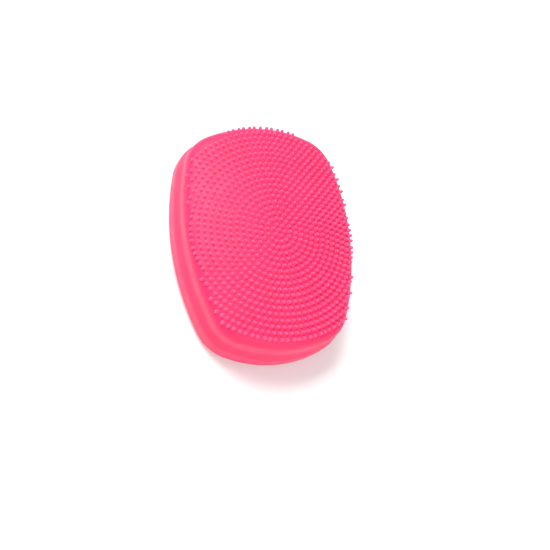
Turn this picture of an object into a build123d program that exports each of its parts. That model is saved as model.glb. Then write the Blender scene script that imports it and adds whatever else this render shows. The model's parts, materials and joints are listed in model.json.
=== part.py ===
"""Palm-size silicone facial cleansing brush, built as its separate pieces.

The brush lies on its flat back: +Z points out of the bristles, +Y along the body and +X across it.
The origin is the centre of the back plane. All sizes are millimetres.
"""

from build123d import *
from math import ceil, cos, pi, radians, sin, sqrt
import os

# ---- Outline of the body: four bowed sides meeting in large round corners ----
half_width = 32.0
half_length = 42.2
side_radius = 94.0
side_middle_y = 4.0
top_end_radius = 58.0
low_end_radius = 44.0
corner_radius = 14.5

# ---- Domed face and edges ----
front_height = 25.0
side_drop = 6.4
end_drop = 4.1
rim_radius = 4.0
back_edge_radius = 3.5

# ---- Wall: upright round the back, flared inwards above the parting line, then upright again ----
parting_height = 8.0
flare_height = 5.5
shoulder_inset = 1.3

# ---- Bristles: concentric rings of round-tipped pins ----
ring_pitch = 2.1
ring_start = 45.0
ring_center_y = -0.15
field_margin = 0.9
field_end_radius = 36.0
bristle_height = 1.15
bristle_foot_radius = 0.62
bristle_tip_radius = 0.54
bristle_root = 0.3

# ---- Skin and inner shells ----
face_skin = 3.0
wall_skin = 2.6
back_skin = 1.6
shell_wall = 1.8
shell_edge_radius = 2.2
dish_depth = 0.6
dish_radius = 10.5
seal_width = 0.8
seal_depth = 0.4

# ---- Screws that hold the two shells together ----
screw_side_inset = 13.5
screw_end_inset = 14.5
screw_radius = 1.0
screw_length = 11.0
screw_head_radius = 1.9
screw_head_height = 1.3
screw_slot_width = 0.6
screw_slot_depth = 0.5
boss_radius = 2.6
screw_gap = 0.15
head_recess = 0.2
pilot_spare = 0.5

# ---- Buttons on the back ----
button_row_y = 4.0
button_spacing = 16.0
power_radius = 7.0
small_radius = 4.6
button_gap = 0.15
button_below_back = 0.3
button_flange = 0.8
flange_thickness = 0.6
flange_gap = 0.05
button_travel = 0.4
button_edge_radius = 0.5
mark_depth = 0.15
mark_width = 0.8

# ---- Circuit board and what is soldered to it ----
board_width = 30.0
board_end_gap = 13.0
board_thickness = 1.0
board_standoff = 3.3
board_center_y = 2.0
board_corner_radius = 2.0
post_radius = 1.3
post_side_inset = 2.2
post_end_inset = 9.0
switch_size = 6.0
switch_height = 2.0
plunger_radius = 1.2
plunger_length = 2.0
plunger_gap = 0.05
chip_size = 5.0
chip_height = 0.9
chip_spacing = 9.0

# ---- Indicator light ----
light_inset = 2.5
lens_radius = 1.0
lamp_size = 2.4
lamp_height = 1.0
lens_gap = 0.2
lens_collar_radius = 1.7

# ---- Charging contacts and magnets ----
charge_inset = 3.5
contact_spacing = 10.0
contact_radius = 1.3
contact_recess = 0.3
contact_collar_radius = 2.0
contact_collar_height = 0.8
magnet_spacing = 22.0
magnet_radius = 2.5
magnet_height = 2.0

# ---- Battery ----
cell_x = -12.0
cell_board_gap = 0.3
cell_radius = 4.0
cell_length = 40.0
cell_crimp_depth = 0.35
cell_crimp_width = 1.2
cell_crimp_offset = 3.0
cell_cap_radius = 1.8
cell_cap_height = 0.6
tab_thickness = 0.3
tab_width = 3.0
foam_width = 6.0
foam_length = 32.0
saddle_thickness = 4.0
saddle_spacing = 26.0
saddle_wall = 1.4

# ---- Motor ----
motor_x = 12.0
motor_board_gap = 0.4
motor_front_y = -2.0
can_radius = 4.0
can_length = 16.0
can_wall = 0.4
end_cap_thickness = 1.2
bush_radius = 1.5
bush_length = 1.2
shaft_radius = 0.5
shaft_gap = 0.03
shaft_reach = 8.0
armature_radius = 2.6
armature_length = 9.0
weight_radius = 3.9
weight_length = 5.0
weight_hub_radius = 1.4
weight_gap = 1.2
damper_wall = 0.7
damper_length = 12.0
magnet_wall = 0.7
lead_radius = 0.35
lead_spacing = 3.6
lead_reach = 2.4
lead_bend = 1.4

# ---- Values worked out from the ones above ----
across_radius = (half_width**2 + side_drop**2) / (2 * side_drop)
along_radius = (half_length**2 + end_drop**2) / (2 * end_drop)
shoulder_height = parting_height + flare_height
field_half_length = half_length - shoulder_inset - field_margin
shell_inset = wall_skin
cavity_inset = wall_skin + shell_wall
shell_drop = face_skin
cavity_drop = face_skin + shell_wall
shell_floor = back_skin
cavity_floor = back_skin + shell_wall
board_length = 2 * (half_length - board_end_gap)
board_bottom = cavity_floor + board_standoff
board_top = board_bottom + board_thickness
post_x = board_width / 2 - post_side_inset
post_y = board_length / 2 - post_end_inset
screw_x = half_width - screw_side_inset
screw_y = half_length - screw_end_inset
dome_center_z = front_height - along_radius
switch_bottom = board_bottom - switch_height
flange_bottom = cavity_floor + flange_gap
flange_top = flange_bottom + flange_thickness
seal_inset = (shell_inset + cavity_inset - seal_width) / 2
screw_seat = shell_floor + head_recess + screw_head_height
screw_tip = screw_seat + screw_length
can_end_y = motor_front_y + can_length
cell_z = board_top + cell_board_gap + cell_radius
damper_radius = can_radius + damper_wall
motor_z = board_top + motor_board_gap + damper_radius
cell_start_y = -cell_length / 2
cell_end_y = cell_length / 2
light_center = (0, board_center_y + board_length / 2 - light_inset)
charge_y = board_center_y - board_length / 2 + charge_inset
power_center = (0, button_row_y)
plus_center = (0, button_row_y + button_spacing)
minus_center = (0, button_row_y - button_spacing)
buttons = [
    ("power", power_center, power_radius),
    ("plus", plus_center, small_radius),
    ("minus", minus_center, small_radius),
]
screw_places = [(x, y) for x in (-screw_x, screw_x) for y in (-screw_y, screw_y)]
post_places = [(x, board_center_y + y) for x in (-post_x, post_x) for y in (-post_y, post_y)]
contact_places = [(-contact_spacing / 2, charge_y), (contact_spacing / 2, charge_y)]
magnet_places = [(-magnet_spacing / 2, charge_y), (magnet_spacing / 2, charge_y)]

os.makedirs("parts", exist_ok=True)


def save(part, name):
    """Labels a finished piece and writes it to its own file."""
    part.label = name
    export_step(part, f"parts/{name}.step")


def barrel(height, inset):
    """Face of the body outline at a height, brought in by an inset (negative goes outwards)."""
    with BuildSketch(Plane.XY.offset(height)) as face:
        with Locations((half_width - side_radius, side_middle_y)):
            Circle(side_radius - inset)
        with Locations((side_radius - half_width, side_middle_y)):
            Circle(side_radius - inset, mode=Mode.INTERSECT)
        with Locations((0, half_length - top_end_radius)):
            Circle(top_end_radius - inset, mode=Mode.INTERSECT)
        with Locations((0, low_end_radius - half_length)):
            Circle(low_end_radius - inset, mode=Mode.INTERSECT)
        fillet(face.vertices(), corner_radius - inset)
    return face.sketch


def under_dome(drop, mode=Mode.INTERSECT):
    """Keeps what lies under the domed face lowered by a drop, or cuts it away."""
    with Locations((0, 0, dome_center_z)):
        Torus(
            along_radius - across_radius,
            across_radius - drop,
            rotation=(0, 90, 0),
            mode=mode,
        )


def block_under_dome(bottom, inset, drop, edge):
    """Solid under the lowered dome and inside the inset outline, with its rim rounded."""
    with BuildPart() as block:
        extrude(barrel(bottom, inset), amount=front_height)
        under_dome(drop)
        fillet(block.faces().sort_by(Axis.Z)[-1].edges(), edge)
    return block.part


def tub(bottom, inset, edge):
    """Solid from a floor up to the parting plane, with its bottom edge rounded."""
    with BuildPart() as block:
        extrude(barrel(bottom, inset), amount=parting_height - bottom)
        fillet(block.faces().sort_by(Axis.Z)[0].edges(), edge)
    return block.part


def band(bottom, outer_inset, inner_inset, height):
    """Upright band that follows the body outline between two insets."""
    with BuildPart() as wall:
        extrude(barrel(bottom, outer_inset), amount=height)
        extrude(barrel(bottom, inner_inset), amount=height, mode=Mode.SUBTRACT)
    return wall.part


def dome_plane(x, y, drop):
    """Plane on the domed face, lowered by a drop, above (x, y); it faces straight out."""
    radius = across_radius - drop
    ring = along_radius - across_radius + sqrt(radius**2 - x**2)
    lean_x = x / radius
    lean_y = y / ring
    upright = sqrt(1 - lean_x**2)
    out = (lean_x, upright * lean_y, upright * sqrt(1 - lean_y**2))
    return Plane(origin=(x, y, dome_center_z + sqrt(ring**2 - y**2)), z_dir=out)


def seat(x, y):
    """Plane on the outer face above (x, y): on the dome, or on the rounded rim near the outline."""
    inset, spot, edge_spot = Vertex(x, y, 0).distance_to_with_closest_points(shoulder_outline)
    if inset < rim_radius:
        outward = (edge_spot - spot).normalized()
        tilt = 1 - inset / rim_radius
        middle = edge_spot - outward * rim_radius
        rim_start = dome_plane(middle.X, middle.Y, rim_radius)
        if tilt > rim_start.z_dir.dot(outward):
            out = outward * tilt + Vector(0, 0, sqrt(1 - tilt**2))
            return Plane(origin=rim_start.origin + out * rim_radius, z_dir=out)
    return dome_plane(x, y, 0)


def disc(center, bottom, radius, height, mode=Mode.ADD):
    """Upright round disc in the part being built."""
    with BuildSketch(Plane.XY.offset(bottom)) as round_face:
        with Locations(center):
            Circle(radius)
    extrude(round_face.sketch, amount=height, mode=mode)


def slab(center, bottom, width, length, height, mode=Mode.ADD):
    """Upright rectangular slab in the part being built."""
    with BuildSketch(Plane.XY.offset(bottom)) as flat_face:
        with Locations(center):
            Rectangle(width, length)
    extrude(flat_face.sketch, amount=height, mode=mode)


def bar_along_y(x, z, start_y, radius, length, mode=Mode.ADD):
    """Round bar lying along +Y from start_y in the part being built."""
    with BuildSketch(Plane(origin=(x, start_y, z), x_dir=(1, 0, 0), z_dir=(0, 1, 0))) as end_face:
        Circle(radius)
    extrude(end_face.sketch, amount=length, mode=mode)


shoulder_outline = barrel(0, shoulder_inset).wires()[0]

# ---- Silicone skin ----
with BuildPart() as face_pad:
    loft([barrel(parting_height, 0), barrel(shoulder_height, shoulder_inset)], ruled=True)
    add(block_under_dome(shoulder_height, shoulder_inset, 0, rim_radius))
    add(
        block_under_dome(parting_height, shell_inset, shell_drop, shell_edge_radius),
        mode=Mode.SUBTRACT,
    )
save(face_pad.part, "face_pad")

with BuildPart() as bristle:
    with BuildSketch(Plane.XZ):
        with BuildLine():
            Line((0, -bristle_root), (bristle_foot_radius, -bristle_root))
            Line(
                (bristle_foot_radius, -bristle_root),
                (bristle_tip_radius, bristle_height - bristle_tip_radius),
            )
            CenterArc((0, bristle_height - bristle_tip_radius), bristle_tip_radius, 0, 90)
            Line((0, bristle_height), (0, -bristle_root))
        make_face()
    revolve(axis=Axis.Z)

with BuildSketch() as field:
    add(barrel(0, shoulder_inset + field_margin))
    SlotCenterToCenter(
        2 * (field_half_length - field_end_radius),
        2 * field_end_radius,
        rotation=90,
        mode=Mode.INTERSECT,
    )
field_face = field.sketch.faces()[0]
bristle_seats = [seat(0, ring_center_y)]
ring_count = ceil(half_length / ring_pitch)
for ring_number in range(1, ring_count):
    ring_bristles = 2 * ceil(pi * ring_number) if ring_number > 1 else 6
    ring_radius = ring_number * ring_pitch
    for place in range(ring_bristles):
        turn = radians(ring_start) + 2 * pi * place / ring_bristles
        bristle_x = ring_radius * cos(turn)
        bristle_y = ring_center_y + ring_radius * sin(turn)
        if field_face.is_inside((bristle_x, bristle_y, 0)):
            bristle_seats.append(seat(bristle_x, bristle_y))
bristle_field = Compound(children=[bristle.part.moved(place.location) for place in bristle_seats])
save(bristle_field, "bristle_field")

with BuildPart() as back_sleeve:
    add(tub(0, 0, back_edge_radius))
    add(tub(shell_floor, shell_inset, shell_edge_radius), mode=Mode.SUBTRACT)
    with BuildSketch() as dish:
        with Locations(power_center):
            SlotCenterToCenter(2 * button_spacing, 2 * dish_radius, rotation=90)
    extrude(dish.sketch, amount=dish_depth, mode=Mode.SUBTRACT)
    for name, center, radius in buttons:
        disc(center, 0, radius + button_gap, back_skin, Mode.SUBTRACT)
    disc(light_center, 0, lens_radius, back_skin, Mode.SUBTRACT)
    for center in contact_places:
        disc(center, 0, contact_radius, back_skin, Mode.SUBTRACT)
save(back_sleeve.part, "back_sleeve")

# ---- Hard inner shells ----
seal_band = band(parting_height - seal_depth, seal_inset, seal_inset + seal_width, 2 * seal_depth)

with BuildPart() as front_cavity:
    extrude(barrel(parting_height, cavity_inset), amount=front_height)
    under_dome(cavity_drop)
    for center in screw_places:
        disc(center, parting_height, boss_radius, front_height, Mode.SUBTRACT)

with BuildPart() as front_shell:
    add(block_under_dome(parting_height, shell_inset, shell_drop, shell_edge_radius))
    add(front_cavity.part, mode=Mode.SUBTRACT)
    add(seal_band, mode=Mode.SUBTRACT)
    for center in screw_places:
        pilot_depth = screw_tip + pilot_spare - parting_height
        disc(center, parting_height, screw_radius, pilot_depth, Mode.SUBTRACT)
save(front_shell.part, "front_shell")

with BuildPart() as back_cavity:
    extrude(barrel(cavity_floor, cavity_inset), amount=parting_height - cavity_floor)
    for center in screw_places:
        disc(center, cavity_floor, boss_radius, parting_height, Mode.SUBTRACT)
    for center in post_places:
        disc(center, cavity_floor, post_radius, board_bottom - cavity_floor, Mode.SUBTRACT)

with BuildPart() as back_shell:
    add(tub(shell_floor, shell_inset, shell_edge_radius))
    add(back_cavity.part, mode=Mode.SUBTRACT)
    add(seal_band, mode=Mode.SUBTRACT)
    for center in screw_places:
        disc(center, shell_floor, screw_head_radius + screw_gap, screw_seat - shell_floor, Mode.SUBTRACT)
        disc(center, screw_seat, screw_radius + screw_gap, parting_height, Mode.SUBTRACT)
    for name, center, radius in buttons:
        disc(center, shell_floor, radius + button_gap, shell_wall, Mode.SUBTRACT)
    disc(light_center, shell_floor, lens_radius, shell_wall, Mode.SUBTRACT)
    for center in contact_places:
        disc(center, shell_floor, contact_radius, shell_wall, Mode.SUBTRACT)
save(back_shell.part, "back_shell")

save(seal_band, "seal_ring")

with BuildPart() as shell_screws:
    for center in screw_places:
        disc(center, screw_seat - screw_head_height, screw_head_radius, screw_head_height)
        disc(center, screw_seat, screw_radius, screw_length)
        for slot_sides in ((screw_slot_width, screw_head_radius), (screw_head_radius, screw_slot_width)):
            slab(center, screw_seat - screw_head_height, *slot_sides, screw_slot_depth, Mode.SUBTRACT)
save(shell_screws.part, "shell_screws")


# ---- Buttons: a cap through the back, a flange that keeps it in and a switch plunger on top ----
def power_mark(center, radius):
    """Open ring with a bar at its gap."""
    with Locations(center):
        Circle(radius)
        Circle(radius - mark_width, mode=Mode.SUBTRACT)
    with Locations((center[0], center[1] + radius)):
        Rectangle(3 * mark_width, radius, mode=Mode.SUBTRACT)
        Rectangle(mark_width, radius)


def plus_mark(center, radius):
    """Two crossed bars."""
    with Locations(center):
        Rectangle(2 * radius, mark_width)
        Rectangle(mark_width, 2 * radius)


def minus_mark(center, radius):
    """One bar."""
    with Locations(center):
        Rectangle(2 * radius, mark_width)


marks = {"power": power_mark, "plus": plus_mark, "minus": minus_mark}
for name, center, radius in buttons:
    with BuildPart() as button:
        disc(center, button_below_back, radius, flange_bottom - button_below_back)
        fillet(button.edges().group_by(Axis.Z)[0], button_edge_radius)
        disc(center, flange_bottom, radius + button_flange, flange_thickness)
        with BuildSketch(Plane.XY.offset(button_below_back)) as mark:
            marks[name](center, radius / 3)
        extrude(mark.sketch, amount=mark_depth, mode=Mode.SUBTRACT)
    save(button.part, f"{name}_button")

    with BuildPart() as plunger:
        disc(center, flange_top, plunger_radius, plunger_length)
    save(plunger.part, f"{name}_plunger")

with BuildPart() as switch_housings:
    for name, center, radius in buttons:
        plunger_bore = flange_top + plunger_length + button_travel + plunger_gap - switch_bottom
        slab(center, switch_bottom, switch_size, switch_size, switch_height)
        disc(center, switch_bottom, plunger_radius + plunger_gap, plunger_bore, Mode.SUBTRACT)
save(switch_housings.part, "switch_housings")

# ---- Circuit board, lamp and charging contacts ----
with BuildPart() as circuit_board:
    with BuildSketch(Plane.XY.offset(board_bottom)) as board_face:
        with Locations((0, board_center_y)):
            RectangleRounded(board_width, board_length, board_corner_radius)
    extrude(board_face.sketch, amount=board_thickness)
save(circuit_board.part, "circuit_board")

with BuildPart() as control_chips:
    for chip_y in (board_center_y - chip_spacing, board_center_y + chip_spacing):
        slab((0, chip_y), board_top, chip_size, chip_size, chip_height)
save(control_chips.part, "control_chips")

lamp_bottom = board_bottom - lamp_height
with BuildPart() as indicator_lamp:
    slab(light_center, lamp_bottom, lamp_size, lamp_size, lamp_height)
save(indicator_lamp.part, "indicator_lamp")

with BuildPart() as light_pipe:
    disc(light_center, dish_depth, lens_radius, cavity_floor - dish_depth)
    disc(light_center, cavity_floor, lens_collar_radius, lamp_bottom - lens_gap - cavity_floor)
save(light_pipe.part, "light_pipe")

with BuildPart() as charging_contacts:
    for center in contact_places:
        disc(center, contact_recess, contact_radius, board_bottom - contact_recess)
        disc(center, cavity_floor, contact_collar_radius, contact_collar_height)
save(charging_contacts.part, "charging_contacts")

with BuildPart() as charging_magnets:
    for center in magnet_places:
        disc(center, cavity_floor, magnet_radius, magnet_height)
save(charging_magnets.part, "charging_magnets")

# ---- Battery: a round cell hung from the front shell by two saddles, with foam under it ----
with BuildPart() as battery_cell:
    bar_along_y(cell_x, cell_z, cell_start_y, cell_radius, cell_length)
    crimp_y = cell_end_y - cell_crimp_offset
    bar_along_y(cell_x, cell_z, crimp_y, cell_radius, cell_crimp_width, Mode.SUBTRACT)
    bar_along_y(cell_x, cell_z, crimp_y, cell_radius - cell_crimp_depth, cell_crimp_width)
    bar_along_y(cell_x, cell_z, cell_end_y, cell_cap_radius, cell_cap_height)
save(battery_cell.part, "battery_cell")

with BuildPart() as battery_tabs:
    for tab_y in (cell_start_y - tab_thickness / 2, cell_end_y + cell_cap_height + tab_thickness / 2):
        slab((cell_x, tab_y), board_top, tab_width, tab_thickness, cell_z + tab_width / 2 - board_top)
save(battery_tabs.part, "battery_tabs")

with BuildPart() as battery_foam:
    slab((cell_x, 0), board_top, foam_width, foam_length, cell_z - cell_radius / 2 - board_top)
    bar_along_y(cell_x, cell_z, cell_start_y, cell_radius, cell_length, Mode.SUBTRACT)
save(battery_foam.part, "battery_foam")

saddle_width = 2 * (cell_radius + saddle_wall)
with BuildPart() as battery_saddle:
    for saddle_y in (-saddle_spacing / 2, saddle_spacing / 2):
        slab((cell_x, saddle_y), cell_z, saddle_width, saddle_thickness, front_height)
    under_dome(cavity_drop)
    bar_along_y(cell_x, cell_z, cell_start_y, cell_radius, cell_length, Mode.SUBTRACT)
save(battery_saddle.part, "battery_saddle")

# ---- Motor with an eccentric weight, in a soft damper under its own saddle ----
inner_radius = can_radius - can_wall
cap_y = can_end_y - end_cap_thickness
with BuildPart() as motor_can:
    bar_along_y(motor_x, motor_z, motor_front_y, can_radius, cap_y - motor_front_y)
    bar_along_y(motor_x, motor_z, motor_front_y + can_wall, inner_radius, can_length, Mode.SUBTRACT)
    bar_along_y(motor_x, motor_z, motor_front_y, bush_radius, can_wall, Mode.SUBTRACT)
save(motor_can.part, "motor_can")

with BuildPart() as motor_end_cap:
    bar_along_y(motor_x, motor_z, cap_y, can_radius, end_cap_thickness)
    bar_along_y(motor_x, motor_z, cap_y, bush_radius, end_cap_thickness, Mode.SUBTRACT)
save(motor_end_cap.part, "motor_end_cap")

front_bush_y = motor_front_y - (bush_length - can_wall) / 2
rear_bush_y = cap_y + (end_cap_thickness - bush_length) / 2
with BuildPart() as motor_bushes:
    for bush_y in (front_bush_y, rear_bush_y):
        bar_along_y(motor_x, motor_z, bush_y, bush_radius, bush_length)
        bar_along_y(motor_x, motor_z, bush_y, shaft_radius + shaft_gap, bush_length, Mode.SUBTRACT)
save(motor_bushes.part, "motor_bushes")

armature_y = (front_bush_y + bush_length + cap_y - armature_length) / 2
with BuildPart() as motor_magnet:
    bar_along_y(motor_x, motor_z, armature_y, inner_radius, armature_length)
    bar_along_y(motor_x, motor_z, armature_y, inner_radius - magnet_wall, armature_length, Mode.SUBTRACT)
save(motor_magnet.part, "motor_magnet")

with BuildPart() as armature:
    bar_along_y(motor_x, motor_z, armature_y, armature_radius, armature_length)
    bar_along_y(motor_x, motor_z, armature_y, shaft_radius, armature_length, Mode.SUBTRACT)
save(armature.part, "armature")

shaft_y = motor_front_y - shaft_reach
with BuildPart() as motor_shaft:
    bar_along_y(motor_x, motor_z, shaft_y, shaft_radius, rear_bush_y + bush_length - shaft_y)
save(motor_shaft.part, "motor_shaft")

weight_y = motor_front_y - weight_gap - weight_length
with BuildPart() as eccentric_weight:
    with BuildSketch(Plane(origin=(motor_x, weight_y, motor_z), x_dir=(1, 0, 0), z_dir=(0, 1, 0))) as half:
        Circle(weight_radius)
        Rectangle(2 * weight_radius, weight_radius, align=(Align.CENTER, Align.MAX), mode=Mode.SUBTRACT)
        Circle(weight_hub_radius)
        Circle(shaft_radius, mode=Mode.SUBTRACT)
    extrude(half.sketch, amount=weight_length)
save(eccentric_weight.part, "eccentric_weight")

damper_y = (motor_front_y + can_end_y - damper_length) / 2
with BuildPart() as motor_damper:
    bar_along_y(motor_x, motor_z, damper_y, damper_radius, damper_length)
    bar_along_y(motor_x, motor_z, damper_y, can_radius, damper_length, Mode.SUBTRACT)
save(motor_damper.part, "motor_damper")

with BuildPart() as motor_saddle:
    saddle_center = (motor_x, damper_y + damper_length / 2)
    slab(saddle_center, motor_z, 2 * (damper_radius + saddle_wall), damper_length, front_height)
    under_dome(cavity_drop)
    bar_along_y(motor_x, motor_z, damper_y, damper_radius, damper_length, Mode.SUBTRACT)
save(motor_saddle.part, "motor_saddle")

with BuildPart() as motor_leads:
    for lead_x in (motor_x - lead_spacing / 2, motor_x + lead_spacing / 2):
        with BuildLine() as lead_path:
            FilletPolyline(
                (lead_x, can_end_y, motor_z),
                (lead_x, can_end_y + lead_reach, motor_z),
                (lead_x, can_end_y + lead_reach, board_top),
                radius=lead_bend,
            )
        with BuildSketch(Plane(origin=(lead_x, can_end_y, motor_z), z_dir=(0, 1, 0))) as lead_end:
            Circle(lead_radius)
        sweep(lead_end.sketch, path=lead_path.wires()[0])
save(motor_leads.part, "motor_leads")
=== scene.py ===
"""Looks of the silicone facial cleansing brush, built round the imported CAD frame."""

import json
import math
import random

import bmesh
import bpy
import numpy as np
from mathutils import Matrix, Vector


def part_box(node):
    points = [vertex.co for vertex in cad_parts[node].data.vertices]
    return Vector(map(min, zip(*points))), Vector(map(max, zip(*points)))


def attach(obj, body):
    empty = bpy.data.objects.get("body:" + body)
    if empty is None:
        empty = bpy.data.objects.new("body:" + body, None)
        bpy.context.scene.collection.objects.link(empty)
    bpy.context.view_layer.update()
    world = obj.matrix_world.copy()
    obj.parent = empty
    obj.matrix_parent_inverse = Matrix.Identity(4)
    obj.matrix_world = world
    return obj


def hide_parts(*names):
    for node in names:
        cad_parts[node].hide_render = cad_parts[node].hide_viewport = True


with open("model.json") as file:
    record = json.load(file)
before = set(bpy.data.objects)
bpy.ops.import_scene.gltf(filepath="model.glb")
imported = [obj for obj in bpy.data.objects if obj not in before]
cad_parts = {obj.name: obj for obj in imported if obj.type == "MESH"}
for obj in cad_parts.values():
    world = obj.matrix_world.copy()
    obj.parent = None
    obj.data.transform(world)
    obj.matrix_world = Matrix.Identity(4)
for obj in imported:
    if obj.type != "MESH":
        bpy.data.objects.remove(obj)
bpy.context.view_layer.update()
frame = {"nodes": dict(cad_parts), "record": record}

MM = 0.001

# ---- Shape of the skin, in millimetres ----
pad_low, pad_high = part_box("face_pad")
sleeve_low, sleeve_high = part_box("back_sleeve")
half_width = sleeve_high.x / MM
half_length = sleeve_high.y / MM
parting_height = pad_low.z / MM
front_height = pad_high.z / MM
side_radius = 94.0
side_middle_y = 4.0
top_end_radius = 58.0
low_end_radius = 44.0
corner_radius = 14.5
side_drop = 6.4
end_drop = 4.1
across_radius = (half_width**2 + side_drop**2) / (2 * side_drop)
along_radius = (half_length**2 + end_drop**2) / (2 * end_drop)
rim_radius = 4.0
back_edge_radius = 3.5
flare_height = 5.5
shoulder_inset = 1.3
face_skin = 3.0
wall_skin = 2.6
back_skin = 1.6
inner_rim_radius = 2.2

# ---- Fineness of the meshes: how many steps each stretch has ----
outline_steps = 384
flare_steps = 14
face_wall_steps = 4
rim_steps = 12
dome_steps = 40
back_wall_steps = 12
back_edge_steps = 10
inner_rim_steps = 5
inner_dome_steps = 16
bristle_sides = 14
bristle_foot_steps = 3
bristle_tip_steps = 4
dish_end_steps = 40
button_hole_steps = 64
small_hole_steps = 32
sharp_angle = 40.0

# ---- Openings in the back, in millimetres ----
dish_depth = 0.6
dish_radius = 10.5
button_flange = 0.8
button_gap = 0.15
lens_radius = 1.0
contact_radius = 1.3
contact_collar_radius = 2.0
cutter_reach = 1.0
opening_edge_radius = 0.18
opening_edge_steps = 3
opening_edge_angle = 50.0

# ---- Bristles, in millimetres ----
ring_pitch = 2.1
ring_start = 45.0
ring_center_y = -0.15
field_margin = 0.9
field_end_radius = 36.0
bristle_height = 1.15
bristle_foot_radius = 0.60
bristle_tip_radius = 0.54
bristle_root = 0.25
foot_flare = 0.14
lean_spread = 1.2
height_spread = 0.02

rng = random.Random(7)


# ---- Outline of the body ----
def corner_center(side_y, end_radius):
    """Centre of the corner circle that touches the side circle and the end circle from inside."""
    side = np.array([half_width - side_radius, side_y])
    end = np.array([0.0, half_length - end_radius])
    side_reach = side_radius - corner_radius
    end_reach = end_radius - corner_radius
    apart = end - side
    span = np.hypot(*apart)
    along = (side_reach**2 - end_reach**2 + span**2) / (2 * span)
    off = math.sqrt(side_reach**2 - along**2)
    unit = apart / span
    middle = side + along * unit
    return middle + off * np.array([-unit[1], unit[0]]), side, end


def quarter_outline(steps, side_y, end_radius):
    """Points and outward directions from the widest point of a side to just short of the end."""
    corner, side, end = corner_center(side_y, end_radius)
    first = math.atan2(corner[1] - side[1], corner[0] - side[0])
    second = math.atan2(corner[1] - end[1], corner[0] - end[0])
    arcs = (
        (0.0, first, side, side_radius),
        (first, second, corner, corner_radius),
        (second, math.pi / 2, end, end_radius),
    )
    lengths = [(hi - lo) * radius for lo, hi, _, radius in arcs]
    total = sum(lengths)
    points, outs = [], []
    for step in range(steps):
        run = total * step / steps
        for (lo, _, middle, radius), length in zip(arcs, lengths):
            if run <= length:
                turn = lo + run / radius
                break
            run -= length
        out = np.array([math.cos(turn), math.sin(turn)])
        points.append(middle + radius * out)
        outs.append(out)
    return np.array(points), np.array(outs)


def outline(steps):
    """Points and outward directions round the body outline, anticlockwise from its right side."""
    upper = quarter_outline(steps // 4, side_middle_y, top_end_radius)
    lower = quarter_outline(steps // 4, -side_middle_y, low_end_radius)
    across = np.array([-1.0, 1.0])
    down = np.array([1.0, -1.0])
    top_middle = ((0.0, half_length), (0.0, 1.0))
    left_middle = ((-half_width, side_middle_y), (-1.0, 0.0))
    low_middle = ((0.0, -half_length), (0.0, -1.0))
    rows = []
    for above, below, top, left, low in zip(upper, lower, top_middle, left_middle, low_middle):
        left_above = above[:0:-1] * across
        left_below = below[1:] * down * across
        right_below = below[:0:-1] * down
        rows.append(np.vstack([above, top, left_above, left, left_below, low, right_below]))
    return rows[0], rows[1]


# ---- The domed face ----
def ring_reach(x, drop):
    """Distance from the dome's long axis to its surface, lowered by a drop, at x."""
    return along_radius - across_radius + np.sqrt((across_radius - drop) ** 2 - x**2)


def dome_height(x, y, drop):
    """Height of the domed face, lowered by a drop, above (x, y)."""
    reach = ring_reach(x, drop)
    return front_height - along_radius + np.sqrt(reach**2 - y**2)


def dome_out(x, y, drop):
    """Unit vectors that point straight out of the lowered dome at (x, y)."""
    lean_x = x / (across_radius - drop)
    upright = np.sqrt(1 - lean_x**2)
    lean_y = y / ring_reach(x, drop)
    return np.stack([lean_x, upright * lean_y, upright * np.sqrt(1 - lean_y**2)], axis=-1)


def flare_inset(height):
    """How far the wall stands in from the outline at a height: a soft S above the parting line."""
    share = (height - parting_height) / flare_height
    share = min(max(share, 0.0), 1.0)
    return shoulder_inset * share * share * (3 - 2 * share)


def wall_ring(points, outs, inset, height):
    """Ring of the outline brought in by an inset, at one height or at a height for each point."""
    flat = points - outs * inset
    heights = np.full(len(points), height) if np.isscalar(height) else height
    return np.column_stack([flat, heights])


def rim_rings(points, outs, inset, drop, radius, steps):
    """Rings of the rounded rim between the wall and the dome: a ball of that radius rolls along it."""
    center = points - outs * (inset + radius)
    center_height = dome_height(center[:, 0], center[:, 1], drop + radius)
    middle = np.column_stack([center, center_height])
    level = np.column_stack([outs, np.zeros(len(outs))])
    upward = dome_out(center[:, 0], center[:, 1], drop + radius)
    rings = []
    for step in range(steps + 1):
        share = step / steps
        way = level * (1 - share) + upward * share
        way /= np.linalg.norm(way, axis=1)[:, None]
        rings.append(middle + radius * way)
    return rings


def dome_rings(edge, drop, steps):
    """Rings that close the dome from its edge in to the middle."""
    rings = []
    for step in range(1, steps):
        share = 1 - step / steps
        flat = edge[:, :2] * share
        rings.append(np.column_stack([flat, dome_height(flat[:, 0], flat[:, 1], drop)]))
    return rings


def mesh_from_rings(name, rings, first_cap, last_cap):
    """Closed mesh through rings of equal length, with a point or a flat face at each end."""
    mesh = bmesh.new()
    rows = [[mesh.verts.new(Vector(point) * MM) for point in ring] for ring in rings]
    for low, high in zip(rows, rows[1:]):
        for place in range(len(low)):
            after = (place + 1) % len(low)
            mesh.faces.new((low[place], low[after], high[after], high[place]))
    for row, cap, ahead in ((rows[0], first_cap, False), (rows[-1], last_cap, True)):
        if cap is None:
            mesh.faces.new(row if ahead else row[::-1])
            continue
        tip = mesh.verts.new(Vector(cap) * MM)
        for place in range(len(row)):
            after = (place + 1) % len(row)
            pair = (row[place], row[after]) if ahead else (row[after], row[place])
            mesh.faces.new((*pair, tip))
    mesh.normal_update()
    return finish_mesh(name, mesh)


def smooth(data):
    """Shades a mesh smooth, except across its sharp edges."""
    data.shade_smooth()
    data.set_sharp_from_angle(angle=math.radians(sharp_angle))


def finish_mesh(name, mesh):
    """Object made from a bmesh, shaded smooth and linked to the scene."""
    data = bpy.data.meshes.new(name)
    mesh.to_mesh(data)
    mesh.free()
    smooth(data)
    piece = bpy.data.objects.new(name, data)
    bpy.context.scene.collection.objects.link(piece)
    return piece


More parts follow.
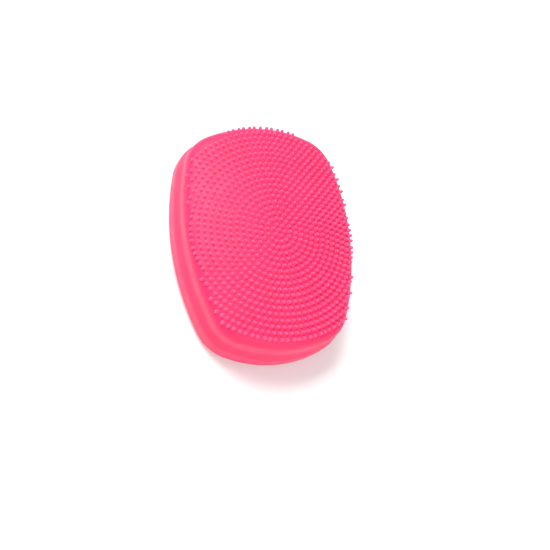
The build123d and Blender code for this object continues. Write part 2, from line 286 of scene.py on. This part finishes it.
def build_face_skin():
    """Silicone face: flared wall, rounded shoulder, dome, and the same again inside as a hollow."""
    points, outs = outline(outline_steps)
    reach = shoulder_inset + rim_radius
    middle = points - outs * reach
    wall_top = dome_height(middle[:, 0], middle[:, 1], rim_radius)
    outer = []
    for step in range(flare_steps):
        height = parting_height + flare_height * step / flare_steps
        outer.append(wall_ring(points, outs, flare_inset(height), height))
    shoulder_height = parting_height + flare_height
    for step in range(face_wall_steps):
        heights = shoulder_height + (wall_top - shoulder_height) * step / face_wall_steps
        outer.append(wall_ring(points, outs, shoulder_inset, heights))
    rim = rim_rings(points, outs, shoulder_inset, 0.0, rim_radius, rim_steps)
    dome = dome_rings(rim[-1], 0.0, dome_steps)
    inner_rim = rim_rings(points, outs, wall_skin, face_skin, inner_rim_radius, inner_rim_steps)
    inner = [wall_ring(points, outs, wall_skin, parting_height)] + inner_rim
    inner += dome_rings(inner_rim[-1], face_skin, inner_dome_steps)
    rings = inner[::-1] + outer + rim + dome
    return mesh_from_rings("face_skin", rings, (0, 0, front_height - face_skin), (0, 0, front_height))


def build_back_skin():
    """Silicone back: outer wall, rounded back edge and flat back, hollow inside, holes cut later."""
    points, outs = outline(outline_steps)
    outer = []
    for step in range(back_wall_steps):
        height = parting_height + (back_edge_radius - parting_height) * step / back_wall_steps
        outer.append(wall_ring(points, outs, 0.0, height))
    for step in range(back_edge_steps + 1):
        turn = math.pi / 2 * step / back_edge_steps
        inset = back_edge_radius * (1 - math.cos(turn))
        outer.append(wall_ring(points, outs, inset, back_edge_radius * (1 - math.sin(turn))))
    inner = [wall_ring(points, outs, wall_skin, parting_height)]
    for step in range(inner_rim_steps + 1):
        turn = math.pi / 2 * step / inner_rim_steps
        inset = wall_skin + inner_rim_radius * (1 - math.cos(turn))
        height = back_skin + inner_rim_radius * (1 - math.sin(turn))
        inner.append(wall_ring(points, outs, inset, height))
    return mesh_from_rings("back_skin", inner[::-1] + outer, None, None)


# ---- Bristles ----
def bristle_places():
    """Seat and outward direction of each bristle: rings round the middle, clipped near the outline."""
    points, outs = outline(outline_steps)
    edge = points - outs * shoulder_inset
    plan = [(0.0, ring_center_y)]
    for ring in range(1, math.ceil(half_length / ring_pitch)):
        count = 2 * math.ceil(math.pi * ring) if ring > 1 else 6
        for place in range(count):
            turn = math.radians(ring_start) + 2 * math.pi * place / count
            reach = ring * ring_pitch
            plan.append((reach * math.cos(turn), ring_center_y + reach * math.sin(turn)))
    end_center = half_length - shoulder_inset - field_margin - field_end_radius
    seats = []
    for spot in np.array(plan):
        nearest = np.argmin(np.hypot(*(edge - spot).T))
        outward = outs[nearest]
        inset = (edge[nearest] - spot) @ outward
        past_end = max(abs(spot[1]) - end_center, 0.0)
        if inset > field_margin and math.hypot(spot[0], past_end) < field_end_radius:
            seats.append(bristle_seat(spot, edge[nearest], outward, inset))
    return seats


def bristle_seat(spot, edge, outward, inset):
    """Point and outward direction on the dome above a spot, or on the rounded rim near the outline."""
    if inset < rim_radius:
        middle = edge - outward * rim_radius
        tilt = 1 - inset / rim_radius
        if tilt > dome_out(*middle, rim_radius)[:2] @ outward:
            out = np.array([*(outward * tilt), math.sqrt(1 - tilt**2)])
            start = np.array([*middle, dome_height(*middle, rim_radius)])
            return start + out * rim_radius, out
    return np.array([*spot, dome_height(*spot, 0.0)]), dome_out(*spot, 0.0)


def bristle_profile():
    """Radius and height up one bristle: flared foot, slight taper, round tip."""
    shoulder = bristle_height - bristle_tip_radius
    profile = [(bristle_foot_radius + foot_flare, -bristle_root), (bristle_foot_radius + foot_flare, 0.0)]
    for step in range(1, bristle_foot_steps + 1):
        turn = math.pi / 2 * step / bristle_foot_steps
        flare = foot_flare * (1 - math.sin(turn))
        profile.append((bristle_foot_radius + flare, foot_flare * (1 - math.cos(turn))))
    profile.append(((bristle_foot_radius + bristle_tip_radius) / 2, shoulder / 2 + foot_flare / 2))
    for step in range(bristle_tip_steps):
        turn = math.pi / 2 * step / bristle_tip_steps
        profile.append((bristle_tip_radius * math.cos(turn), shoulder + bristle_tip_radius * math.sin(turn)))
    return profile


def add_bristle(mesh, profile, seat, upward):
    """One bristle on its seat, with a slight lean and a slightly uneven height."""
    base = Vector(seat)
    lean = Matrix.Rotation(math.radians(rng.gauss(0, lean_spread)), 3, "X")
    lean = lean @ Matrix.Rotation(math.radians(rng.gauss(0, lean_spread)), 3, "Y")
    turned = Vector(upward).to_track_quat("Z", "Y").to_matrix() @ lean
    tall = 1 - abs(rng.gauss(0, height_spread))
    rows = []
    for radius, height in profile:
        row = []
        for side in range(bristle_sides):
            turn = 2 * math.pi * side / bristle_sides
            spot = Vector((radius * math.cos(turn), radius * math.sin(turn), height * tall))
            row.append(mesh.verts.new((base + turned @ spot) * MM))
        rows.append(row)
    tip = mesh.verts.new((base + turned @ Vector((0, 0, bristle_height * tall))) * MM)
    mesh.faces.new(rows[0][::-1])
    for low, high in zip(rows, rows[1:]):
        for side in range(bristle_sides):
            after = (side + 1) % bristle_sides
            mesh.faces.new((low[side], low[after], high[after], high[side]))
    for side in range(bristle_sides):
        mesh.faces.new((rows[-1][side], rows[-1][(side + 1) % bristle_sides], tip))


def build_bristles():
    """All the bristles in one mesh, each standing straight out of the face but for its lean."""
    mesh = bmesh.new()
    profile = bristle_profile()
    for seat, upward in bristle_places():
        add_bristle(mesh, profile, seat, upward)
    return finish_mesh("bristle_pins", mesh)


# ---- Openings in the silicone back ----
def prism(name, ring, low, high):
    """Upright prism over a flat ring, used as a cutter."""
    rings = [np.column_stack([ring, np.full(len(ring), level)]) for level in (low, high)]
    return mesh_from_rings(name, rings, None, None)


def round_ring(center, radius, steps):
    """Points of a circle round a plan centre."""
    turns = np.arange(steps) * 2 * math.pi / steps
    return np.column_stack([center[0] + radius * np.cos(turns), center[1] + radius * np.sin(turns)])


def slot_ring(center, half_run, radius, steps):
    """Points of a slot along Y: two half circles joined by straight sides."""
    turns = np.arange(steps + 1) * math.pi / steps
    upper = np.column_stack([radius * np.cos(turns), half_run + radius * np.sin(turns)])
    return np.vstack([upper, -upper]) + np.array(center)


def cut(piece, cutter):
    """Cuts one piece with another and removes the cutter."""
    change = piece.modifiers.new("cut", "BOOLEAN")
    change.operation = "DIFFERENCE"
    change.solver = "EXACT"
    change.object = cutter
    apply_modifiers(piece)
    bpy.data.objects.remove(cutter)


def apply_modifiers(piece):
    """Replaces a piece's mesh with the result of its modifiers."""
    graph = bpy.context.evaluated_depsgraph_get()
    result = bpy.data.meshes.new_from_object(piece.evaluated_get(graph))
    piece.modifiers.clear()
    old = piece.data
    piece.data = result
    bpy.data.meshes.remove(old)


def plan_circle(node):
    """Plan centre and radius of a round upright CAD node, in millimetres."""
    low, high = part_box(node)
    middle = (low + high) / 2 / MM
    return (middle.x, middle.y), (high.x - low.x) / 2 / MM


def cut_hole(piece, center, radius, steps):
    """Cuts a round hole right through the silicone back."""
    ring = round_ring(center, radius, steps)
    cut(piece, prism("hole_cutter", ring, -cutter_reach, back_skin + cutter_reach))


def soften_openings(piece):
    """Rounds the sharp edges that the cuts left."""
    soften = piece.modifiers.new("soften", "BEVEL")
    soften.width = opening_edge_radius * MM
    soften.segments = opening_edge_steps
    soften.limit_method = "ANGLE"
    soften.angle_limit = math.radians(opening_edge_angle)
    soften.use_clamp_overlap = True
    apply_modifiers(piece)
    smooth(piece.data)


def cut_back_openings(piece):
    """Dish round the buttons, and holes for the buttons, the light and the charging contacts."""
    plus_center, _ = plan_circle("plus_button")
    minus_center, _ = plan_circle("minus_button")
    row_center = (plus_center[0], (plus_center[1] + minus_center[1]) / 2)
    half_run = (plus_center[1] - minus_center[1]) / 2
    dish = slot_ring(row_center, half_run, dish_radius, dish_end_steps)
    cut(piece, prism("dish_cutter", dish, -cutter_reach, dish_depth))
    for node in ("power_button", "plus_button", "minus_button"):
        center, flange_radius = plan_circle(node)
        cut_hole(piece, center, flange_radius - button_flange + button_gap, button_hole_steps)
    center, _ = plan_circle("light_pipe")
    cut_hole(piece, center, lens_radius, small_hole_steps)
    low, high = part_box("charging_contacts")
    contact_y = (low.y + high.y) / 2 / MM
    contact_x = high.x / MM - contact_collar_radius
    for side in (-1, 1):
        cut_hole(piece, (side * contact_x, contact_y), contact_radius, small_hole_steps)
    soften_openings(piece)


# ---- Materials ----
class Nodes:
    """Short helper that adds and wires the nodes of one material."""

    def __init__(self, name):
        self.material = bpy.data.materials.new(name)
        self.material.use_nodes = True
        self.tree = self.material.node_tree
        self.shader = self.tree.nodes["Principled BSDF"]
        self.place = self.tree.nodes.new("ShaderNodeTexCoord").outputs["Object"]

    def add(self, kind, **settings):
        """New node with its settings; a key naming an input sets that input's value."""
        node = self.tree.nodes.new(kind)
        for key, value in settings.items():
            if hasattr(node, key):
                setattr(node, key, value)
            else:
                node.inputs[key.replace("_", " ")].default_value = value
        return node

    def join(self, source, target):
        """Wires an output to an input."""
        self.tree.links.new(source, target)

    def noise(self, size_mm, detail=3.0):
        """Noise whose largest grain is about size_mm across."""
        node = self.add("ShaderNodeTexNoise", Scale=1 / (size_mm * MM), Detail=detail)
        self.join(self.place, node.inputs["Vector"])
        return node.outputs["Fac"]

    def spread(self, source, low, high):
        """Maps a 0 to 1 value, mostly near its middle, to low and high."""
        node = self.add("ShaderNodeMapRange")
        node.inputs["From Min"].default_value = 0.3
        node.inputs["From Max"].default_value = 0.7
        node.inputs["To Min"].default_value = low
        node.inputs["To Max"].default_value = high
        self.join(source, node.inputs["Value"])
        return node.outputs["Result"]

    def blend_colors(self, source, first, second):
        """Colour that runs from first to second with a 0 to 1 value."""
        node = self.add("ShaderNodeMix", data_type="RGBA")
        self.join(source, node.inputs["Factor"])
        node.inputs["A"].default_value = (*first, 1.0)
        node.inputs["B"].default_value = (*second, 1.0)
        return node.outputs["Result"]

    def bump(self, source, height_mm):
        """Bump of a real height from a 0 to 1 value."""
        node = self.add("ShaderNodeBump", Strength=1.0, Distance=height_mm * MM)
        self.join(source, node.inputs["Height"])
        self.join(node.outputs["Normal"], self.shader.inputs["Normal"])


def surface(name, first, second, roughness, grain_mm, bump_mm, metallic=0.0, patch_mm=9.0, **settings):
    """Procedural surface: two close colours in soft patches, varied roughness and fine grain bump."""
    nodes = Nodes(name)
    patches = nodes.spread(nodes.noise(patch_mm), 0.0, 1.0)
    nodes.join(nodes.blend_colors(patches, first, second), nodes.shader.inputs["Base Color"])
    nodes.join(nodes.spread(nodes.noise(patch_mm / 3), *roughness), nodes.shader.inputs["Roughness"])
    nodes.bump(nodes.noise(grain_mm, detail=4.0), bump_mm)
    nodes.shader.inputs["Metallic"].default_value = metallic
    for key, value in settings.items():
        nodes.shader.inputs[key.replace("_", " ")].default_value = value
    return nodes.material


SILICONE_DEEP = (0.740, 0.019, 0.106)
SILICONE_LIGHT = (0.780, 0.024, 0.120)
# The bristle pinks are lighter than the face's own silicone pinks, though both are one silicone: painted
# highlight for the light the bristle tips catch.
BRISTLE_DEEP_PAINTED_HIGHLIGHT = (0.840, 0.074, 0.215)
BRISTLE_LIGHT_PAINTED_HIGHLIGHT = (0.870, 0.086, 0.235)
silicone_glow = dict(
    Subsurface_Weight=0.25,
    Subsurface_Scale=0.0016,
    Subsurface_Radius=(1.0, 0.25, 0.35),
    Specular_IOR_Level=0.27,
    Sheen_Weight=0.12,
    Sheen_Roughness=0.5,
    Sheen_Tint=(1.0, 0.72, 0.80, 1.0),
)


def silicone(name, deep, light, grain_mm=0.35, bump_mm=0.006):
    """Matte moulded silicone in one strong pink, faintly see-through."""
    return surface(name, deep, light, (0.46, 0.58), grain_mm, bump_mm, patch_mm=14.0, **silicone_glow)


def brushed(name, first, second, roughness, stretch):
    """Brushed metal: fine streaks drawn out along one axis."""
    nodes = Nodes(name)
    scale = nodes.add("ShaderNodeMapping")
    scale.inputs["Scale"].default_value = stretch
    nodes.join(nodes.place, scale.inputs["Vector"])
    streaks = nodes.add("ShaderNodeTexNoise", Scale=1 / (0.25 * MM), Detail=3.0)
    nodes.join(scale.outputs["Vector"], streaks.inputs["Vector"])
    streak = streaks.outputs["Fac"]
    nodes.join(nodes.blend_colors(streak, first, second), nodes.shader.inputs["Base Color"])
    nodes.join(nodes.spread(streak, *roughness), nodes.shader.inputs["Roughness"])
    nodes.bump(streak, 0.004)
    nodes.shader.inputs["Metallic"].default_value = 1.0
    return nodes.material


def solder_board(name):
    """Circuit board: green mask with copper tracks just showing through."""
    nodes = Nodes(name)
    tracks = nodes.add("ShaderNodeTexBrick", Scale=1 / (6.0 * MM), Mortar_Size=0.03)
    nodes.join(nodes.place, tracks.inputs["Vector"])
    tracks.inputs["Color1"].default_value = (0.008, 0.090, 0.035, 1)
    tracks.inputs["Color2"].default_value = (0.010, 0.110, 0.045, 1)
    tracks.inputs["Mortar"].default_value = (0.060, 0.200, 0.070, 1)
    nodes.join(tracks.outputs["Color"], nodes.shader.inputs["Base Color"])
    nodes.join(nodes.spread(nodes.noise(3.0), 0.28, 0.40), nodes.shader.inputs["Roughness"])
    nodes.bump(tracks.outputs["Fac"], 0.03)
    return nodes.material


def wound_copper(name):
    """Enamelled copper turns round the armature."""
    nodes = Nodes(name)
    turns = nodes.add("ShaderNodeTexWave", Scale=1 / (1.6 * MM), Distortion=0.4, bands_direction="Y")
    nodes.join(nodes.place, turns.inputs["Vector"])
    wave = turns.outputs["Fac"]
    enamel = nodes.blend_colors(wave, (0.35, 0.10, 0.03), (0.80, 0.30, 0.12))
    nodes.join(enamel, nodes.shader.inputs["Base Color"])
    nodes.join(nodes.spread(wave, 0.28, 0.42), nodes.shader.inputs["Roughness"])
    nodes.bump(wave, 0.06)
    nodes.shader.inputs["Metallic"].default_value = 1.0
    return nodes.material


def slot_materials():
    """One material for each of the record's slots."""
    return {
        "silicone": silicone("silicone_skin", SILICONE_DEEP, SILICONE_LIGHT),
        "silicone_button": silicone("silicone_keys", SILICONE_DEEP, SILICONE_LIGHT, bump_mm=0.004),
        "shell_plastic": surface(
            "shell_plastic", (0.78, 0.77, 0.74), (0.82, 0.81, 0.79), (0.36, 0.46), 0.3, 0.01,
        ),
        "seal_rubber": surface(
            "seal_rubber", (0.012, 0.012, 0.013), (0.020, 0.020, 0.022), (0.5, 0.65), 0.2, 0.01,
        ),
        "steel": brushed("steel", (0.66, 0.66, 0.68), (0.78, 0.78, 0.80), (0.25, 0.38), (8.0, 0.6, 8.0)),
        "gold_contact": surface(
            "gold_contact", (0.80, 0.55, 0.20), (0.90, 0.66, 0.30), (0.14, 0.24), 0.2, 0.003,
            metallic=1.0, patch_mm=2.0,
        ),
        "board": solder_board("board"),
        "black_plastic": surface(
            "black_plastic", (0.014, 0.014, 0.016), (0.024, 0.024, 0.026), (0.38, 0.5), 0.2, 0.01,
        ),
        "lamp": surface("lamp", (0.85, 0.84, 0.72), (0.90, 0.90, 0.82), (0.15, 0.25), 0.3, 0.005),
        "clear_plastic": surface(
            "clear_plastic", (0.92, 0.90, 0.92), (0.97, 0.95, 0.97), (0.22, 0.34), 0.15, 0.006,
            patch_mm=1.5, Transmission_Weight=0.55, IOR=1.49,
        ),
        "cell_wrap": surface(
            "cell_wrap", (0.015, 0.09, 0.36), (0.025, 0.12, 0.42), (0.18, 0.30), 1.2, 0.02,
        ),
        "nickel": brushed("nickel", (0.60, 0.58, 0.54), (0.74, 0.72, 0.68), (0.28, 0.40), (6.0, 6.0, 0.6)),
        "foam": surface(
            "foam", (0.018, 0.018, 0.020), (0.045, 0.045, 0.048), (0.85, 0.98), 0.4, 0.12, patch_mm=1.0,
        ),
        "magnet": surface(
            "magnet", (0.10, 0.10, 0.11), (0.16, 0.16, 0.17), (0.32, 0.48), 0.25, 0.01, metallic=1.0,
        ),
        "copper": wound_copper("copper"),
        "bronze": surface(
            "bronze", (0.42, 0.24, 0.09), (0.54, 0.33, 0.14), (0.34, 0.50), 0.1, 0.01,
            metallic=1.0, patch_mm=1.0,
        ),
        "lead_wire": surface(
            "lead_wire", (0.40, 0.010, 0.010), (0.50, 0.018, 0.015), (0.32, 0.45), 0.2, 0.008,
        ),
        "damper_rubber": surface(
            "damper_rubber", (0.012, 0.012, 0.013), (0.022, 0.022, 0.024), (0.55, 0.72), 0.25, 0.015,
        ),
    }


def dress(piece, material):
    """Gives a piece one material all over."""
    piece.data.materials.clear()
    piece.data.materials.append(material)


def dress_frame(materials):
    """Materials for the CAD nodes that stay as they are."""
    for row in frame["record"]["subparts"]:
        node = frame["nodes"][row["node"]]
        if not node.data.materials:
            node.data.materials.append(materials[row["material_slot"]])
        for slot in node.material_slots:
            slot.material = materials[row["material_slot"]]


# ---- Pieces ----
materials = slot_materials()
dress_frame(materials)

bristle_pins = build_bristles()
face_skin_piece = build_face_skin()
back_skin_piece = build_back_skin()
cut_back_openings(back_skin_piece)

# The bristles get the lighter pinks: painted highlight on the tips, over the same silicone as the face.
bristle_silicone_painted_highlight = silicone("silicone_bristles_painted_highlight", BRISTLE_DEEP_PAINTED_HIGHLIGHT, BRISTLE_LIGHT_PAINTED_HIGHLIGHT, grain_mm=0.2, bump_mm=0.003)
for piece, node, look in (
    (face_skin_piece, "face_pad", materials["silicone"]),
    (back_skin_piece, "back_sleeve", materials["silicone"]),
    (bristle_pins, "bristle_field", bristle_silicone_painted_highlight),
):
    dress(piece, look)
    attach(piece, "housing")
    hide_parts(node)


# ---- Floor, light and camera ----
floor_radius = 3000.0
floor_tuck = 0.3
camera_distance = 0.350
focal_share = 1.869
sensor_width = 36.0
tilt_up = -19.3
tilt_side = 20.5
roll = 7.6
aim_right = 0.0016
aim_up = 0.0158
light_target = (0.0, 0.0, 0.012)
sky_strength = 0.42


def build_floor():
    """Plain pale floor, left open under the flat of the back so that the back shows from below."""
    points, outs = outline(outline_steps)
    hole = points - outs * (back_edge_radius + floor_tuck)
    rim = outs * floor_radius
    mesh = bmesh.new()
    rows = [[mesh.verts.new((x * MM, y * MM, 0)) for x, y in ring] for ring in (hole, rim)]
    for place in range(outline_steps):
        after = (place + 1) % outline_steps
        mesh.faces.new((rows[0][place], rows[1][place], rows[1][after], rows[0][after]))
    floor = finish_mesh("floor", mesh)
    dress(floor, surface("floor_paint", (0.90, 0.90, 0.90), (0.92, 0.92, 0.92), (0.75, 0.85), 2.0, 0.01,
                         patch_mm=200.0))


def area_light(name, place, size, power):
    """Square soft light at a place, facing the brush."""
    data = bpy.data.lights.new(name, "AREA")
    data.size = size
    data.energy = power
    lamp = bpy.data.objects.new(name, data)
    lamp.location = place
    lamp.rotation_euler = (Vector(light_target) - Vector(place)).to_track_quat("-Z", "Y").to_euler()
    bpy.context.scene.collection.objects.link(lamp)


def build_camera():
    """Camera at the photograph's angle: it sees the face from the lower left, 28 degrees off square."""
    turn = (Matrix.Rotation(math.radians(tilt_up), 3, "X") @ Matrix.Rotation(math.radians(tilt_side), 3, "Y")
            @ Matrix.Rotation(math.radians(roll), 3, "Z"))
    middle = Vector((0, 0, (front_height + bristle_height) * MM))
    from_camera = Vector((aim_right, aim_up, -camera_distance))
    place = middle - turn.transposed() @ from_camera
    data = bpy.data.cameras.new("camera")
    data.lens = sensor_width * focal_share
    data.sensor_width = sensor_width
    data.clip_start = 0.01
    camera = bpy.data.objects.new("camera", data)
    camera.matrix_world = Matrix.Translation(place) @ turn.transposed().to_4x4()
    bpy.context.scene.collection.objects.link(camera)
    bpy.context.scene.camera = camera


def build_sky():
    """Even white light from all round."""
    world = bpy.data.worlds.new("studio")
    world.use_nodes = True
    background = world.node_tree.nodes["Background"]
    background.inputs["Color"].default_value = (1.0, 1.0, 1.0, 1.0)
    background.inputs["Strength"].default_value = sky_strength
    bpy.context.scene.world = world


build_floor()
build_camera()
area_light("key_light", (-0.22, 0.38, 0.62), 0.40, 7.6)
area_light("fill_light", (0.05, -0.60, 0.45), 0.60, 3.6)
build_sky()
bpy.context.scene.view_settings.view_transform = "Standard"
